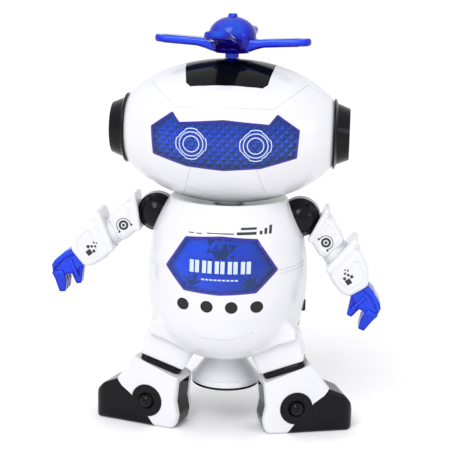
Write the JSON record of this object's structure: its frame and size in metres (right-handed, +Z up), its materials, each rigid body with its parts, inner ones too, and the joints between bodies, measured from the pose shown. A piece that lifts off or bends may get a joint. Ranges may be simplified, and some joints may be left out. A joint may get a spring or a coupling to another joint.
{
  "type": "toy robot",
  "caption": "Free-standing toy robot with an egg-shaped head, propeller, claw hands, swinging legs and a motor-driven turning base under its torso.",
  "frame": {"origin": "on the floor under the boots, on the turning axis of the base", "axes": "+Z up along the turning axis, -Y towards the robot's front, +X towards its left side"},
  "size_m": [0.1668, 0.0802, 0.2051],
  "materials": {
    "white_plastic": "gloss",
    "black_plastic": "gloss",
    "blue_clear_plastic": "gloss",
    "blue_facets": "gloss",
    "dull_black": "matte",
    "white_nylon": "matte",
    "steel": "satin",
    "brass": "satin",
    "circuit_board": "satin",
    "light_lens": "gloss",
    "battery_wrap": "satin"
  },
  "bodies": {
    "torso": {"body_front_shell": "white_plastic", "body_rear_shell": "white_plastic", "chest_lens": "blue_clear_plastic", "chest_facet_plate": "blue_facets", "chest_led_board": "circuit_board", "sound_port_pads": "dull_black", "speaker": "steel", "left_shoulder_cap": "black_plastic", "right_shoulder_cap": "black_plastic", "left_shoulder_back": "white_plastic", "right_shoulder_back": "white_plastic", "shoulder_pins": "steel", "hip_pins": "steel", "neck_post": "white_nylon", "gearbox_frame": "white_nylon", "idler_axle": "steel", "motor": "steel", "battery_box": "black_plastic", "battery_cells": "battery_wrap", "battery_contacts": "steel", "main_circuit_board": "circuit_board", "body_screws": "steel"},
    "head": {"head_front_shell": "white_plastic", "head_rear_shell": "white_plastic", "crown_cover": "black_plastic", "visor_lens": "blue_clear_plastic", "visor_facet_plate": "blue_facets", "left_ear_cup": "black_plastic", "right_ear_cup": "black_plastic", "head_led_board": "circuit_board", "eye_leds": "light_lens", "head_screws": "steel", "neck_bush": "white_nylon", "propeller_socket": "white_nylon"},
    "propeller": {"propeller": "blue_clear_plastic"},
    "battery_door": {"battery_door": "white_plastic", "door_screw": "steel"},
    "power_switch": {"power_switch": "dull_black"},
    "turning_base": {"base_cone": "white_plastic", "base_ring": "black_plastic", "base_spindle": "white_nylon", "spindle_gear": "white_nylon"},
    "idler": {"idler_gear": "white_nylon"},
    "pinion": {"motor_pinion": "brass"},
    "left_upper_arm": {"left_upper_arm": "white_plastic"},
    "left_forearm": {"left_forearm": "white_plastic"},
    "left_hand": {"left_hand": "blue_clear_plastic"},
    "left_leg": {"left_thigh": "white_plastic", "left_ankle_band": "black_plastic", "left_boot_core": "black_plastic", "left_boot_shell": "white_plastic", "left_ankle_discs": "black_plastic"},
    "right_upper_arm": {"right_upper_arm": "white_plastic"},
    "right_forearm": {"right_forearm": "white_plastic"},
    "right_hand": {"right_hand": "blue_clear_plastic"},
    "right_leg": {"right_thigh": "white_plastic", "right_ankle_band": "black_plastic", "right_boot_core": "black_plastic", "right_boot_shell": "white_plastic", "right_ankle_discs": "black_plastic"}
  },
  "joints": [
    {"name": "neck_turn", "type": "hinge", "parent": "torso", "child": "head", "pos_m": [0, 0, 0.1134], "axis": [0, 0, 1], "range_deg": [-35, 35]},
    {"name": "propeller_spin", "type": "hinge", "parent": "head", "child": "propeller", "pos_m": [0, 0, 0.19], "axis": [0, 0, 1], "continuous": true},
    {"name": "base_spin", "type": "hinge", "parent": "torso", "child": "turning_base", "pos_m": [0, 0, 0.0196], "axis": [0, 0, 1], "continuous": true},
    {"name": "idler_spin", "type": "hinge", "parent": "torso", "child": "idler", "pos_m": [-0.00853, -0.00981, 0.06], "axis": [0, 0, 1], "continuous": true},
    {"name": "pinion_spin", "type": "hinge", "parent": "torso", "child": "pinion", "pos_m": [0.00301, -0.01312, 0.064], "axis": [0, 0, 1], "continuous": true},
    {"name": "battery_door_lift_off", "type": "slide", "parent": "torso", "child": "battery_door", "axis": [0, 1, 0], "range_m": [0, 0.015]},
    {"name": "power_switch_slide", "type": "slide", "parent": "torso", "child": "power_switch", "axis": [0, 0, 1], "range_m": [0, 0.002]},
    {"name": "left_shoulder_lift", "type": "hinge", "parent": "torso", "child": "left_upper_arm", "pos_m": [0.0358, 0, 0.1066], "axis": [0, -1, 0], "range_deg": [-8, 64]},
    {"name": "left_elbow_swivel", "type": "hinge", "parent": "left_upper_arm", "child": "left_forearm", "pos_m": [0.04011, 0, 0.10951], "axis": [0.5592, 0, -0.829], "range_deg": [-45, 45]},
    {"name": "left_wrist_swivel", "type": "hinge", "parent": "left_forearm", "child": "left_hand", "pos_m": [0.06583, 0, 0.07137], "axis": [0.5592, 0, -0.829], "range_deg": [-60, 60]},
    {"name": "right_shoulder_lift", "type": "hinge", "parent": "torso", "child": "right_upper_arm", "pos_m": [-0.0358, 0, 0.1066], "axis": [0, 1, 0], "range_deg": [-26, 46]},
    {"name": "right_elbow_swivel", "type": "hinge", "parent": "right_upper_arm", "child": "right_forearm", "pos_m": [-0.039, 0, 0.1107], "axis": [-0.788, 0, -0.6157], "range_deg": [-45, 45]},
    {"name": "right_wrist_swivel", "type": "hinge", "parent": "right_forearm", "child": "right_hand", "pos_m": [-0.07525, 0, 0.08238], "axis": [-0.788, 0, -0.6157], "range_deg": [-60, 60]},
    {"name": "left_hip_swing", "type": "hinge", "parent": "torso", "child": "left_leg", "pos_m": [0.0265, -0.01, 0.043], "axis": [0, -1, 0], "range_deg": [0, 46]},
    {"name": "right_hip_swing", "type": "hinge", "parent": "torso", "child": "right_leg", "pos_m": [-0.0265, -0.01, 0.043], "axis": [0, 1, 0], "range_deg": [0, 66]}
  ],
  "couplings": [
    {"joint": "idler_spin", "follows": "base_spin", "ratio": -3.3333},
    {"joint": "pinion_spin", "follows": "base_spin", "ratio": 10}
  ]
}
